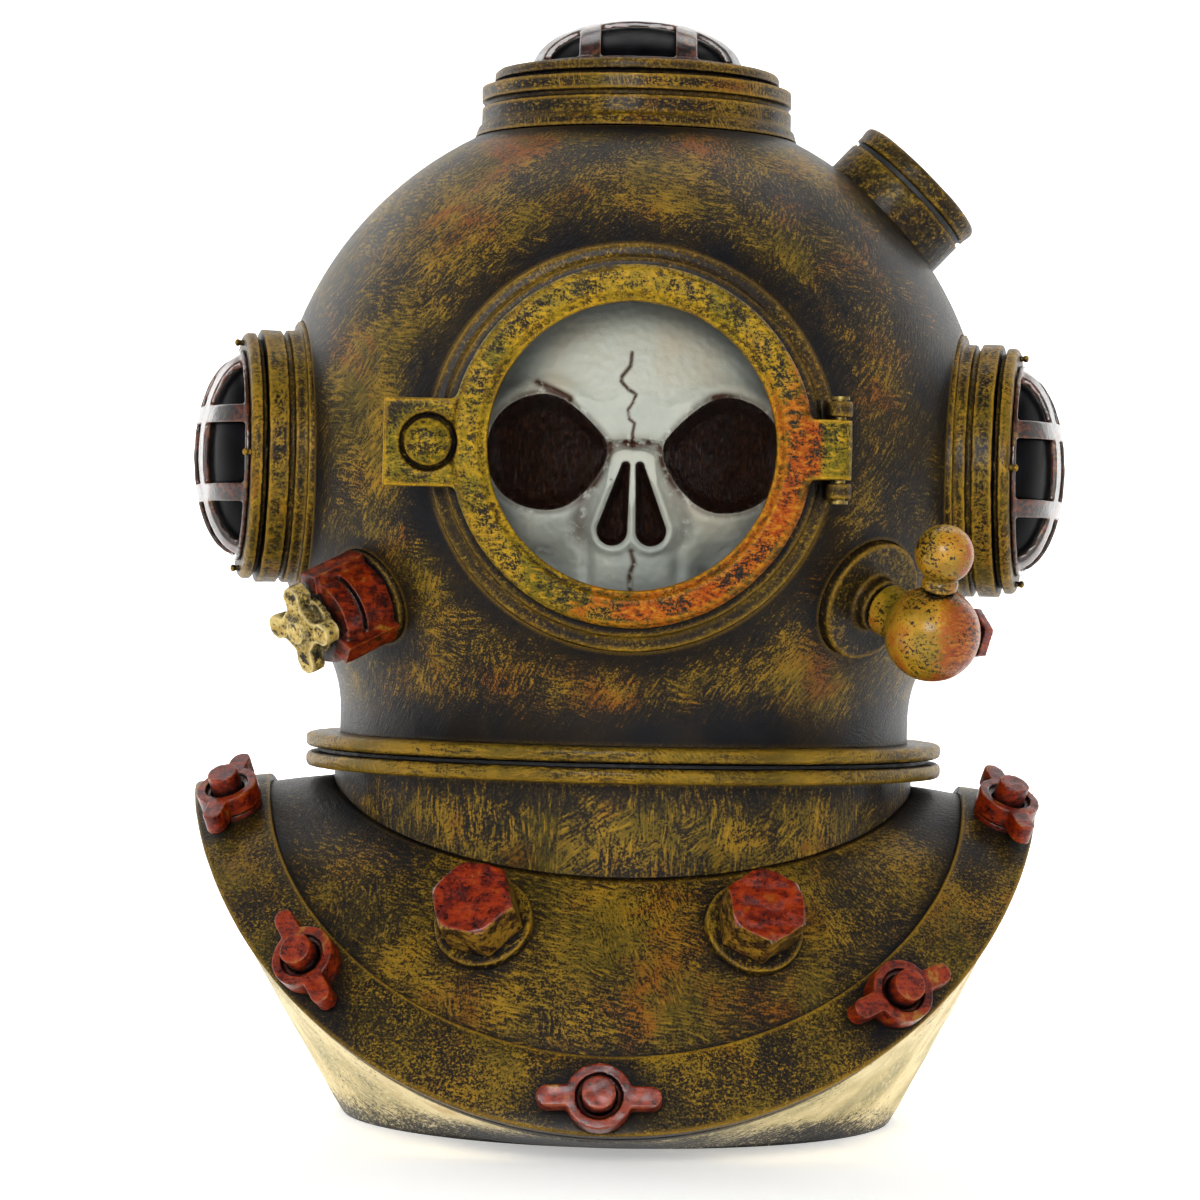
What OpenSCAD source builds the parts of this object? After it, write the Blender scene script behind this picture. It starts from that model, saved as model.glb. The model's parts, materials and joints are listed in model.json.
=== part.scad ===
// Bubbling aquarium ornament: a diver's helmet on its breastplate, with a skull
// behind the open front port. Lengths are in millimetres and angles in degrees.
// +Z is up, the front port faces -Y, and the origin is the centre of the base on
// the surface that the ornament stands on.

/* [Bonnet] */
// Outer radius of the round bonnet
bonnet_r = 62.3; // [60:0.1:64]
// Height of the bonnet's centre
bonnet_z = 114; // [113:0.1:115]
// Height of the point that the crown port, the cap and the valves point away from
fittings_z = 112.3; // [110:0.1:114]
// Wall thickness of the bonnet
bonnet_wall = 3; // [2:0.5:4]
// Outer radius of the neck below the bonnet
neck_r = 49.5; // [48:0.5:50]
// Height of the front port's axis
port_z = 114.3; // [113:0.1:116]
// Height of the side ports' axes
side_port_z = 113.2; // [112:0.1:115]
// Forward turn of each side port
side_port_turn = 10; // [0:1:15]

/* [Front port] */
// Outer radius of the hinged port door
door_r = 29.2; // [28:0.1:30]
// Radius of the door's opening
door_bore_r = 23.1; // [20:0.1:24]
// Thickness of the door ring
door_t = 4.4; // [3.5:0.1:5]
// Outer radius of the housing behind the door
housing_r = 33; // [32:0.5:34]
// Distance of the housing's front face from the centre
housing_front = 59.6; // [59:0.1:61]

/* [Neck] */
// Outer radius of the two neck rings
neck_ring_r = 55.4; // [53:0.1:57]
// Height of the lower neck ring's underside
neck_ring_z = 59.8; // [59.8:0.1:60.2]
// Thickness of each neck ring
neck_ring_t = 2.7; // [2.5:0.1:3]
// Running clearance between turning parts
clearance = 0.05; // [0.03:0.01:0.08]

/* [Breastplate] */
// Radius of the upright collar that the breastplate grows from
collar_r = 50.3; // [50:0.1:51]
// Half width of the breastplate from shoulder to shoulder
edge_x = 72.8; // [71:0.1:74]
// Half depth of the breastplate from front to back
edge_y = 70; // [68:0.5:72]
// Height of the collar's foot at the shoulders
collar_side_z = 58.2; // [57:0.1:59.4]
// Height of the collar's foot at the front
collar_front_z = 44.5; // [43:0.5:46]
// Height of the outer edge at the shoulders
edge_side_z = 54.3; // [53:0.1:55]
// Height of the outer edge at the front
edge_front_z = 4.4; // [4:0.1:6]
// Sideways lean of the breastplate's edge towards the exhaust valve
edge_lean = 1.3; // [0:0.1:2]
// Wall thickness of the breastplate
plate_t = 2.5; // [2:0.1:3]
// Width of the clamping brail
brail_w = 13.3; // [12:0.1:15]
// Thickness of the clamping brail at its outer edge
brail_t = 2; // [1.5:0.1:3]
// Radius of the base where it meets the ground
foot_r = 48; // [47:0.5:50]
// Outward swell of the base's wall, as a share of its radius
wall_swell = 0.02; // [0:0.005:0.03]

/* [Fasteners] */
// Radius of a wing nut's round body
nut_r = 5.4; // [5:0.1:6]
// Reach of a wing from the nut's axis
wing_reach = 10; // [9:0.5:11]
// Radius of the studs under the wing nuts
stud_r = 2.75; // [2.4:0.05:3]
// Radius of the large hex heads across their corners
hex_r = 7.3; // [6.5:0.1:8]
// Height of the large hex heads
hex_h = 8; // [7:0.5:9]

/* [Valves and cap] */
// Radius of the round blanking cap
cap_r = 12.8; // [12:0.1:13.5]
// Lean of the blanking cap from vertical
cap_lean = 44; // [40:1:48]
// Downward tilt of the exhaust valve
exhaust_tilt = 22; // [18:0.1:25]
// Forward turn of the exhaust valve from the wearer's side
exhaust_turn = 41; // [38:1:46]
// Radius of the exhaust valve's barrel
barrel_r = 7.4; // [6.5:0.1:8]
// Downward tilt of the ball cock
cock_tilt = 20.6; // [18:0.1:25]
// Forward turn of the ball cock from the wearer's side
cock_turn = 46.5; // [42:0.5:50]
// Radius of the large ball of the air cock
ball_r = 7.9; // [7.5:0.1:8.5]
// Radius of the small ball on the cock's handle
knob_r = 4.85; // [4:0.05:5]

/* [Air line] */
// Outer radius of the nipple, for airline of 4 mm bore
nipple_r = 2.2; // [2.1:0.05:2.5]
// Length of the nipple's plain shank
nipple_length = 12; // [8:1:16]
// Outer radius of the inner air tube
tube_r = 3; // [2.5:0.1:3.5]

/* [Hidden] */
$fn = 96;
gap = 0.1;

// The neck joint
lower_ring_top = neck_ring_z + neck_ring_t;
upper_ring_z = lower_ring_top + 0.65;
upper_ring_top = upper_ring_z + neck_ring_t;
collar_bore_r = collar_r - 3;
spigot_r = collar_bore_r - clearance;
spigot_z = neck_ring_z - 2.8;

// The front port, measured along its own axis towards the viewer
housing_back = 47;
housing_step_r = 30.6;
housing_bore_r = 24.5;
door_back = housing_front + 0.5;
door_front = door_back + door_t;
door_mid = (door_back + door_front) / 2;
hinge_x = 33.2;
hinge_r = 2.1;
hinge_pin_r = 1;
leaf_half = 4.9;
knuckle_gap = 0.3;
knuckle_h = 2.8;
tab_reach = 39.9;
tab_half = 7.15;
tab_t = 3.2;
catch_x = -32.6;
catch_r = 3.9;

// Each port: [flange, ring, bezel and dome radii], then the distances from the
// centre of [flange top, first ring top, second ring top, bezel top, guard top]
SIDE_RADII = [23.4, 21.8, 21.2, 16.7];
SIDE_STACK = [58.7, 61.6, 65.1, 68, 76];
TOP_RADII = [28.3, 27.1, 24.9, 18.1];
TOP_STACK = [59.5, 63.6, 66.4, 69.3, 78.6];
TOP_SEAT = 57.2;
lens_rim = 1.4;
guard_gap = 0.1;
guard_t = 1.1;
groove_w = 0.9;
groove_depth = 1;

// The breastplate surface
STEPS = 8;
SECTIONS = 96;
bow = 0.4;
brail_lift = 0.15;
brail_inner_t = 1.2;
ridge = 0.27;
hex_place = 0.34;
hex_spread = 22;

// Nuts round the brail: angle round the plate, turn of the wings from the band's
// run, and place across the band from its inner (0) to its outer edge (1)
NUTS = [
    [-91.5, 0, 0.6], [-134.5, -50, 0.5], [-50, 20, 0.5], [-167, -78, 0.5], [-11.5, 78, 0.55],
    [90, 0, 0.6], [50, -20, 0.4], [130, 20, 0.4]
];

BODY_GOLD = "#7d6a2a";
DARK_GOLD = "#5b4a20";
RED = "#a8361a";
BONE = "#cfd4ce";
DARK = "#15161c";
STEEL = "#6d6f73";

// ---- Places -------------------------------------------------------------

// Local +Z runs out along the named axis, from the bonnet's own centre line
module on_front_port() translate([0, 0, port_z]) rotate([90, 0, 0]) children();
module on_left_port() translate([0, 0, side_port_z]) rotate([0, 90, 180 + side_port_turn]) children();
module on_right_port() translate([0, 0, side_port_z]) rotate([0, 90, -side_port_turn]) children();
module on_top_port() translate([0, 0, fittings_z]) children();
module on_cap() translate([0, 0, fittings_z]) rotate([0, cap_lean, 0]) children();
module on_exhaust() translate([0, 0, fittings_z])
    rotate([0, 90 + exhaust_tilt, 180 + exhaust_turn]) children();
module on_cock() translate([0, 0, fittings_z]) rotate([0, 90 + cock_tilt, -cock_turn]) children();
module on_inlet() translate([0, 0, inlet_z]) rotate([-90, 0, 0]) children();

inlet_z = spigot_z - tube_r - 1.6;

// ---- Breastplate surface --------------------------------------------------

function blend(a, b, f) = a + (b - a) * f;

// How far the plate has fallen from shoulder (0) to front or back (1)
function fall(t) = (sqrt(pow(sin(t), 2) + ridge * ridge) - ridge)
    / (sqrt(1 + ridge * ridge) - ridge);
function collar_z(t) = blend(collar_side_z, collar_front_z, fall(t));
function edge_z(t) = blend(edge_side_z, edge_front_z, fall(t));

// Point on the outer surface: rho runs from the collar (0) to the edge (1)
function plate(rho, t) = [
    blend(collar_r + gap, edge_x, rho) * cos(t) - edge_lean * rho,
    blend(collar_r + gap, edge_y, rho) * sin(t),
    blend(collar_z(t), edge_z(t), (1 - bow) * rho + bow * rho * rho)
];

function plate_normal(rho, t) =
    let (across = plate(rho + 0.01, t) - plate(rho - 0.01, t),
         along = plate(rho, t + 1) - plate(rho, t - 1),
         n = cross(across, along))
    n / norm(n);

// The same surface raised (or sunk) along its normal
function raised(rho, t, h) = plate(rho, t) + plate_normal(rho, t) * h;

// Where the brail's inner edge lies, so that it keeps its width all round
function brail_rho(t) = 1 - brail_w * 0.2 / norm(plate(1, t) - plate(0.8, t));
function nut_rho(nut) = blend(brail_rho(nut[0]), 1, nut[2]);

// Faces of a solid swept through n sections of m points each
function swept_faces(n, m, closed) = concat(
    [for (k = [0 : n - (closed ? 1 : 2)], i = [0 : m - 1])
        let (a = k * m, b = (k + 1) % n * m, j = (i + 1) % m)
        each [[a + i, b + i, b + j], [a + i, b + j, a + j]]],
    closed ? [] : [[for (i = [0 : m - 1]) i], [for (i = [m - 1 : -1 : 0]) (n - 1) * m + i]]
);

module swept(sections, closed = true) {
    polyhedron(
        points = [for (section = sections) each section],
        faces = swept_faces(len(sections), len(sections[0]), closed)
    );
}

// Stands its children on the breastplate, local +Z along the surface's normal
module on_plate(rho, t, h = 0) {
    n = plate_normal(rho, t);
    translate(raised(rho, t, h)) rotate([0, acos(n.z), atan2(n.y, n.x)]) children();
}

// ---- Base and breastplate -------------------------------------------------

// Point on the base's outer wall: k runs from the foot (0) to the plate (1)
function base_wall(t, k) =
    let (point = blend([foot_r * cos(t), foot_r * sin(t), 0], raised(1, t, -plate_t - 0.4), k),
         swell = 1 + wall_swell * sin(180 * k))
    [point.x * swell, point.y * swell, point.z];

function base_section(t) = concat(
    [for (i = [0 : 4]) base_wall(t, i / 4)],
    [raised(0.88, t, -plate_t - 0.4)],
    [[(foot_r - 3) * cos(t), (foot_r - 3) * sin(t), 0]]
);

module base_shell() {
    color(BODY_GOLD)
        swept([for (k = [0 : SECTIONS - 1]) base_section(k * 360 / SECTIONS)]);
}

plate_hole_r = 4;
plate_hole_ring = 30;

module base_plate() {
    color(DARK_GOLD) difference() {
        cylinder(r = foot_r - 3.4, h = 3);
        for (a = [45 : 90 : 315])
            rotate([0, 0, a]) translate([plate_hole_ring, 0, -1]) cylinder(r = plate_hole_r, h = 5);
    }
}

function corselet_section(t) = concat(
    [for (i = [0 : STEPS]) plate(i / STEPS, t)],
    [for (i = [STEPS : -1 : 1]) raised(i / STEPS, t, -plate_t)],
    [plate(0, t) - [0, 0, plate_t * 1.4]]
);

module corselet() {
    color(BODY_GOLD)
        swept([for (k = [0 : SECTIONS - 1]) corselet_section(k * 360 / SECTIONS)]);
}

function brail_section(t) =
    let (start = brail_rho(t), rows = 3)
    concat(
        [for (i = [0 : rows])
            raised(blend(start, 1, i / rows), t, brail_lift + blend(brail_inner_t, brail_t, i / rows))],
        [for (i = [rows : -1 : 0]) raised(blend(start, 1, i / rows), t, brail_lift)]
    );

// Half of the brail; the two halves meet at the shoulders
module brail(from) {
    sweep = 180 - 0.4;
    pieces = SECTIONS / 2;
    color(BODY_GOLD)
        swept([for (k = [0 : pieces]) brail_section(from + 0.2 + k * sweep / pieces)], false);
}
module front_brail() brail(-180);
module rear_brail() brail(0);

module neck_collar() {
    foot = collar_front_z - 4;
    color(BODY_GOLD) difference() {
        translate([0, 0, foot]) cylinder(r = collar_r, h = neck_ring_z - foot);
        translate([0, 0, foot - 1]) cylinder(r = collar_bore_r, h = neck_ring_z);
        on_inlet() cylinder(r = tube_r + 0.4, h = collar_r + 5);
    }
}

// A flat ring with rounded outer edges
module neck_ring(z, inner) {
    round_r = 0.8;
    translate([0, 0, z]) rotate_extrude() {
        translate([inner, 0]) square([neck_ring_r - round_r - inner, neck_ring_t]);
        translate([inner, round_r]) square([neck_ring_r - inner, neck_ring_t - 2 * round_r]);
        for (h = [round_r, neck_ring_t - round_r])
            translate([neck_ring_r - round_r, h]) circle(r = round_r);
    }
}

module lower_neck_ring() color(BODY_GOLD) neck_ring(neck_ring_z, collar_bore_r);

module neck_gasket() {
    color(DARK) translate([0, 0, lower_ring_top]) difference() {
        cylinder(r = neck_ring_r - 2.4, h = 0.5);
        translate([0, 0, -1]) cylinder(r = collar_bore_r + 0.2, h = 3);
    }
}

// ---- Fasteners --------------------------------------------------------------

seat_h = 0.6;
nut_h = 3.5;
stud_proud = 2.6;
wing_w = 3.6;

module brail_studs() {
    color(RED) for (nut = NUTS) on_plate(nut_rho(nut), nut[0], brail_t) {
        translate([0, 0, -1.6]) cylinder(r = nut_r - 0.3, h = 1.6 + seat_h - gap);
        cylinder(r = stud_r, h = seat_h + nut_h + stud_proud);
    }
}

// A round nut with a sunk face and two blunt wings
module wing_nut(which) {
    nut = NUTS[which];
    color(RED) on_plate(nut_rho(nut), nut[0], brail_t + seat_h) rotate([0, 0, 90 + nut[1]])
        difference() {
            union() {
                cylinder(r = nut_r, h = nut_h);
                translate([-wing_reach + wing_w / 2, -wing_w / 2, 0])
                    cube([2 * wing_reach - wing_w, wing_w, nut_h]);
                for (side = [-1, 1])
                    translate([side * (wing_reach - wing_w / 2), 0, 0])
                        cylinder(r = wing_w / 2, h = nut_h);
            }
            translate([0, 0, -1]) cylinder(r = stud_r + 0.1, h = nut_h + 2);
            translate([0, 0, nut_h - 0.8]) cylinder(r = stud_r + 0.9, h = 2);
        }
}
module wing_nut_front() wing_nut(0);
module wing_nut_front_left() wing_nut(1);
module wing_nut_front_right() wing_nut(2);
module wing_nut_shoulder_left() wing_nut(3);
module wing_nut_shoulder_right() wing_nut(4);
module wing_nut_rear() wing_nut(5);
module wing_nut_rear_right() wing_nut(6);
module wing_nut_rear_left() wing_nut(7);

flange_h = 1.6;

module bolt_flanges() {
    color(DARK_GOLD) for (side = [-1, 1]) on_plate(hex_place, -90 + side * hex_spread)
        translate([0, 0, -1.5]) cylinder(r = hex_r + 0.9, h = 1.5 + flange_h);
}

module hex_bolt(side, turn) {
    color(RED) on_plate(hex_place, -90 + side * hex_spread, flange_h + gap / 2) rotate([0, 0, turn])
        intersection() {
            cylinder(r = hex_r, h = hex_h, $fn = 6);
            cylinder(r1 = hex_r + hex_h * 0.9, r2 = hex_r - 0.9, h = hex_h);
        }
}
module hex_bolt_left() hex_bolt(-1, 20);
module hex_bolt_right() hex_bolt(1, 0);

// ---- Air line -----------------------------------------------------------------

inlet_flange_r = 5.5;
air_bore_r = 1.2;
tail_length = 8;
bend_r = 12;
stone_z = 76;
stone_r = 7;
stone_h = 18;

module air_inlet() {
    flange_y = collar_r + 0.1;
    color(STEEL) on_inlet() difference() {
        union() {
            translate([0, 0, flange_y]) cylinder(r = inlet_flange_r, h = 2.5);
            translate([0, 0, flange_y]) cylinder(r = nipple_r, h = 2.5 + nipple_length);
            translate([0, 0, collar_bore_r - 2]) cylinder(r = tube_r, h = flange_y - collar_bore_r + 2);
            translate([0, 0, collar_bore_r - 2 - tail_length])
                cylinder(r = tube_r - 1.05, h = tail_length + 1);
        }
        cylinder(r = air_bore_r, h = 100);
    }
}

module tube_profile() difference() {
    circle(r = tube_r);
    circle(r = tube_r - 1);
}

// Runs in from the inlet, bends up on the centre line and ends in the stone
module air_tube() {
    start_y = collar_bore_r - 2.2;
    color(DARK) {
        translate([0, start_y, inlet_z]) rotate([90, 0, 0])
            linear_extrude(start_y - bend_r) tube_profile();
        translate([0, bend_r, inlet_z + bend_r]) rotate([90, 0, 0]) rotate([0, 90, 0])
            rotate([0, 0, 180]) rotate_extrude(angle = 90) translate([bend_r, 0]) tube_profile();
        translate([0, 0, inlet_z + bend_r])
            linear_extrude(stone_z + 4 - inlet_z - bend_r) tube_profile();
    }
}

module air_stone() {
    color(STEEL) translate([0, 0, stone_z]) difference() {
        union() {
            cylinder(r = stone_r, h = stone_h - 2);
            translate([0, 0, stone_h - 2]) cylinder(r1 = stone_r, r2 = stone_r - 2, h = 2);
        }
        translate([0, 0, -1]) cylinder(r = tube_r + 0.05, h = 6);
    }
}

// ---- Bonnet ---------------------------------------------------------------------

vent_r = 5;
vent_z = 150;

// The hollow that eases the round bonnet into its neck
module neck_fillet() {
    round_r = 20;
    reach = bonnet_r + round_r;
    drop = sqrt(reach * reach - pow(neck_r + round_r, 2));
    foot = drop * bonnet_r / reach;
    translate([0, 0, bonnet_z - drop]) rotate_extrude() difference() {
        square([(neck_r + round_r) * bonnet_r / reach, drop - foot + 0.5]);
        translate([neck_r + round_r, 0]) circle(r = round_r);
    }
}

module bonnet() {
    neck_top = 76;
    color(BODY_GOLD) difference() {
        union() {
            translate([0, 0, bonnet_z]) sphere(r = bonnet_r);
            translate([0, 0, upper_ring_top]) cylinder(r = neck_r, h = neck_top - upper_ring_top);
            neck_fillet();
        }
        translate([0, 0, bonnet_z]) sphere(r = bonnet_r - bonnet_wall);
        cylinder(r = neck_r - bonnet_wall, h = bonnet_z);
        cylinder(r = bonnet_r, h = upper_ring_top);
        on_front_port() cylinder(r = housing_r + gap, h = 80);
        on_left_port() cylinder(r = SIDE_RADII[0] + gap, h = 80);
        on_right_port() cylinder(r = SIDE_RADII[0] + gap, h = 80);
        on_top_port() cylinder(r = TOP_RADII[0] - 3 + gap, h = 80);
        on_top_port() translate([0, 0, TOP_SEAT]) cylinder(r = TOP_RADII[0] + gap, h = 20);
        on_cap() cylinder(r = cap_r + gap, h = 80);
        on_exhaust() cylinder(r = seat_r + gap, h = 80);
        on_cock() cylinder(r = cock_flange_r + gap, h = 80);
        translate([0, 0, vent_z]) rotate([-90, 0, 0]) cylinder(r = vent_r, h = 80);
    }
}

// The ring above the gap, with the spigot that turns in the lower ring
module bonnet_neck_ring() {
    color(BODY_GOLD) {
        neck_ring(upper_ring_z, spigot_r - 2.8);
        translate([0, 0, spigot_z]) difference() {
            cylinder(r = spigot_r, h = upper_ring_z - spigot_z + 1);
            translate([0, 0, -1]) cylinder(r = spigot_r - 2.8, h = upper_ring_z);
        }
    }
}

// ---- Front port -------------------------------------------------------------------

lug_reach = 38.4;
lug_half = 5.6;
lug_root = 53.2;
socket_r = 1.9;
tip_r = 1.5;
tip_length = 3;

module front_port_housing() {
    color(DARK_GOLD) difference() {
        union() {
            on_front_port() translate([0, 0, housing_back]) cylinder(r = housing_r, h = 10);
            on_front_port() translate([0, 0, housing_back])
                cylinder(r = housing_step_r, h = housing_front - housing_back);
            // The lug behind the catch
            translate([-lug_reach, -housing_front, port_z - lug_half])
                cube([lug_reach - 29, housing_front - lug_root, 2 * lug_half]);
            // The two hinge knuckles
            for (z = [leaf_half + knuckle_gap, -leaf_half - knuckle_gap - knuckle_h])
                translate([hinge_x, 0, port_z + z]) {
                    translate([0, -door_mid, 0]) cylinder(r = hinge_r, h = knuckle_h);
                    translate([-hinge_r, -door_mid, 0])
                        cube([2 * hinge_r, door_mid - lug_root, knuckle_h]);
                }
        }
        on_front_port() cylinder(r = housing_bore_r, h = 80);
        translate([hinge_x, -door_mid, port_z - 20]) cylinder(r = hinge_pin_r + clearance, h = 40);
        translate([catch_x, -housing_front + tip_length + 0.6, port_z]) rotate([90, 0, 0])
            cylinder(r = socket_r, h = 10);
    }
}

module front_port_door() {
    lip_r = door_bore_r + 1.4;
    color(BODY_GOLD) difference() {
        union() {
            on_front_port() translate([0, 0, door_back]) {
                cylinder(r = door_r, h = door_t - 1);
                translate([0, 0, door_t - 1]) cylinder(r1 = door_r, r2 = door_r - 0.9, h = 1);
            }
            translate([-tab_reach, -door_back - tab_t, port_z - tab_half])
                cube([tab_reach - door_bore_r - 3, tab_t, 2 * tab_half]);
            translate([hinge_x, -door_mid, port_z - leaf_half]) cylinder(r = hinge_r, h = 2 * leaf_half);
            translate([door_bore_r + 3, -door_mid - hinge_r, port_z - leaf_half])
                cube([hinge_x - door_bore_r - 3, 2 * hinge_r, 2 * leaf_half]);
        }
        on_front_port() cylinder(r = door_bore_r, h = 80);
        on_front_port() translate([0, 0, door_front - 0.7]) cylinder(r = lip_r, h = 5);
        translate([hinge_x, -door_mid, port_z - 20]) cylinder(r = hinge_pin_r + clearance, h = 40);
        translate([catch_x, 0, port_z]) rotate([90, 0, 0]) cylinder(r = tip_r + gap, h = 80);
        translate([catch_x, -door_back - tab_t + 1, port_z]) rotate([90, 0, 0])
            cylinder(r = catch_r + 0.7, h = 5);
    }
}

// A domed button whose tip drops into the housing's lug
module door_catch() {
    dome_sphere_r = 6;
    face = door_back + tab_t;
    color(BODY_GOLD) translate([catch_x, 0, port_z]) rotate([90, 0, 0]) {
        translate([0, 0, face - 1 + gap / 2]) cylinder(r = catch_r, h = 1.6);
        intersection() {
            translate([0, 0, face + 0.5]) cylinder(r = catch_r, h = 3);
            translate([0, 0, face + 2.2 - dome_sphere_r]) sphere(r = dome_sphere_r);
        }
        translate([0, 0, housing_front - tip_length])
            cylinder(r = tip_r, h = face - housing_front + tip_length);
    }
}

module hinge_pin() {
    reach = leaf_half + knuckle_gap + knuckle_h + 0.6;
    color(STEEL) translate([hinge_x, -door_mid, port_z]) {
        translate([0, 0, -reach]) cylinder(r = hinge_pin_r, h = 2 * reach);
        for (z = [-reach, reach - 0.5]) translate([0, 0, z]) cylinder(r = hinge_pin_r + 0.5, h = 0.5);
    }
}

// ---- Skull ------------------------------------------------------------------------

socket_x = 14.3;
socket_z = 113.8;
nose_z = 105.4;

module skull() {
    back = 30;
    color(BONE) difference() {
        intersection() {
            union() {
                translate([0, -27, 118]) sphere(r = 27.5);
                translate([0, -24.5, 103]) sphere(r = 27);
            }
            union() {
                on_front_port() translate([0, 0, housing_back - gap])
                    cylinder(r = housing_bore_r - 0.3, h = 30);
                on_front_port() translate([0, 0, back])
                    cylinder(r = housing_bore_r + 2, h = housing_back - gap - back);
            }
        }
        for (side = [-1, 1]) translate([side * socket_x, -50.5, socket_z]) sphere(r = 9.4);
        for (side = [-1, 1]) translate([side * 3, -52, nose_z - 2]) sphere(r = 3.4);
        translate([0, -51.5, nose_z + 3]) sphere(r = 3);
    }
}

// ---- Round ports --------------------------------------------------------------------

// The stack of turned rings under a port, with a groove between the two upper ones
module port_rings(radii, stack, inner) {
    translate([0, 0, inner]) cylinder(r = radii[0], h = stack[0] - inner);
    translate([0, 0, inner]) cylinder(r = radii[1], h = stack[1] - groove_w - inner);
    translate([0, 0, inner]) cylinder(r = radii[1] - groove_depth, h = stack[2] - inner);
    translate([0, 0, stack[1]]) cylinder(r = radii[1], h = stack[2] - stack[1]);
}

module port_base(radii, stack, inner) {
    color(DARK_GOLD) difference() {
        port_rings(radii, stack, inner);
        translate([0, 0, inner - 1]) cylinder(r = radii[3] - 0.8, h = 40);
        translate([0, 0, stack[1]]) cylinder(r = radii[3] + lens_rim + gap, h = 10);
    }
}

function dome_rise(stack) = stack[4] - guard_t - guard_gap - stack[3];

// Half of a flattened ball, standing on its rim
module flat_dome(radius, rise) {
    intersection() {
        scale([1, 1, rise / radius]) sphere(r = radius);
        cylinder(r = radius + 1, h = rise + 1);
    }
}

module port_lens(radii, stack) {
    color(DARK) {
        translate([0, 0, stack[1] + gap / 2])
            cylinder(r = radii[3] + lens_rim, h = stack[2] - stack[1] - gap);
        translate([0, 0, stack[1] + gap / 2]) cylinder(r = radii[3], h = stack[3] - stack[1] - gap / 2);
        translate([0, 0, stack[3] - 0.5]) flat_dome(radii[3] - 0.2, dome_rise(stack) + 0.5);
    }
}

module port_bezel(radii, stack) {
    height = stack[3] - stack[2] - groove_w;
    round_r = 0.6;
    color(BODY_GOLD) translate([0, 0, stack[2] + gap]) difference() {
        union() {
            cylinder(r = radii[2] - groove_depth, h = groove_w);
            translate([0, 0, groove_w - gap]) cylinder(r = radii[2], h = height - round_r);
            translate([0, 0, groove_w - gap + height - round_r])
                cylinder(r1 = radii[2], r2 = radii[2] - round_r, h = round_r);
        }
        translate([0, 0, -1]) cylinder(r = radii[3] + gap, h = 20);
    }
}

// Four curved bars that cross over the dome, on a thin rim
module port_guard(radii, stack, bar_w, bar_pitch) {
    inner_r = radii[3] + guard_gap;
    inner_rise = dome_rise(stack) + guard_gap;
    color(RED) translate([0, 0, stack[3] + gap / 2]) {
        intersection() {
            difference() {
                flat_dome(inner_r + guard_t, inner_rise + guard_t - gap / 2);
                scale([1, 1, inner_rise / inner_r]) sphere(r = inner_r);
            }
            union() for (side = [-1, 1]) {
                translate([-40, side * bar_pitch / 2 - bar_w / 2, 0]) cube([80, bar_w, 40]);
                translate([side * bar_pitch / 2 - bar_w / 2, -40, 0]) cube([bar_w, 80, 40]);
            }
        }
        difference() {
            cylinder(r = inner_r + guard_t + 0.3, h = 0.8);
            translate([0, 0, -1]) cylinder(r = inner_r + gap, h = 4);
        }
    }
}

side_inner = 53;
top_inner = 54.5;

module left_port_base() on_left_port() port_base(SIDE_RADII, SIDE_STACK, side_inner);
module left_port_lens() on_left_port() port_lens(SIDE_RADII, SIDE_STACK);
module left_port_bezel() on_left_port() port_bezel(SIDE_RADII, SIDE_STACK);
module left_port_guard() on_left_port() port_guard(SIDE_RADII, SIDE_STACK, 3.1, 13.3);
module right_port_base() on_right_port() port_base(SIDE_RADII, SIDE_STACK, side_inner);
module right_port_lens() on_right_port() port_lens(SIDE_RADII, SIDE_STACK);
module right_port_bezel() on_right_port() port_bezel(SIDE_RADII, SIDE_STACK);
module right_port_guard() on_right_port() port_guard(SIDE_RADII, SIDE_STACK, 3.1, 13.3);

// The top port's base drops its spigot through the crown
module top_port_base() {
    seat = TOP_SEAT + gap;
    color(DARK_GOLD) on_top_port() difference() {
        union() {
            translate([0, 0, top_inner]) cylinder(r = TOP_RADII[0] - 3, h = 6);
            translate([0, 0, seat])
                cylinder(r1 = TOP_RADII[0], r2 = TOP_RADII[0] - 0.7, h = TOP_STACK[0] - seat);
            port_rings([TOP_RADII[1], TOP_RADII[1]], TOP_STACK, seat);
        }
        cylinder(r = TOP_RADII[3] - 0.8, h = 100);
        translate([0, 0, TOP_STACK[1]]) cylinder(r = TOP_RADII[3] + lens_rim + gap, h = 10);
    }
}
module top_port_lens() on_top_port() port_lens(TOP_RADII, TOP_STACK);
module top_port_bezel() on_top_port() port_bezel(TOP_RADII, TOP_STACK);
module top_port_guard() on_top_port() port_guard(TOP_RADII, TOP_STACK, 3.7, 16.5);

// ---- Blanking cap ----------------------------------------------------------------------

cap_boss_top = 68.2;
cap_top = 72.4;
cap_plug_r = cap_r - 4;

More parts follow.
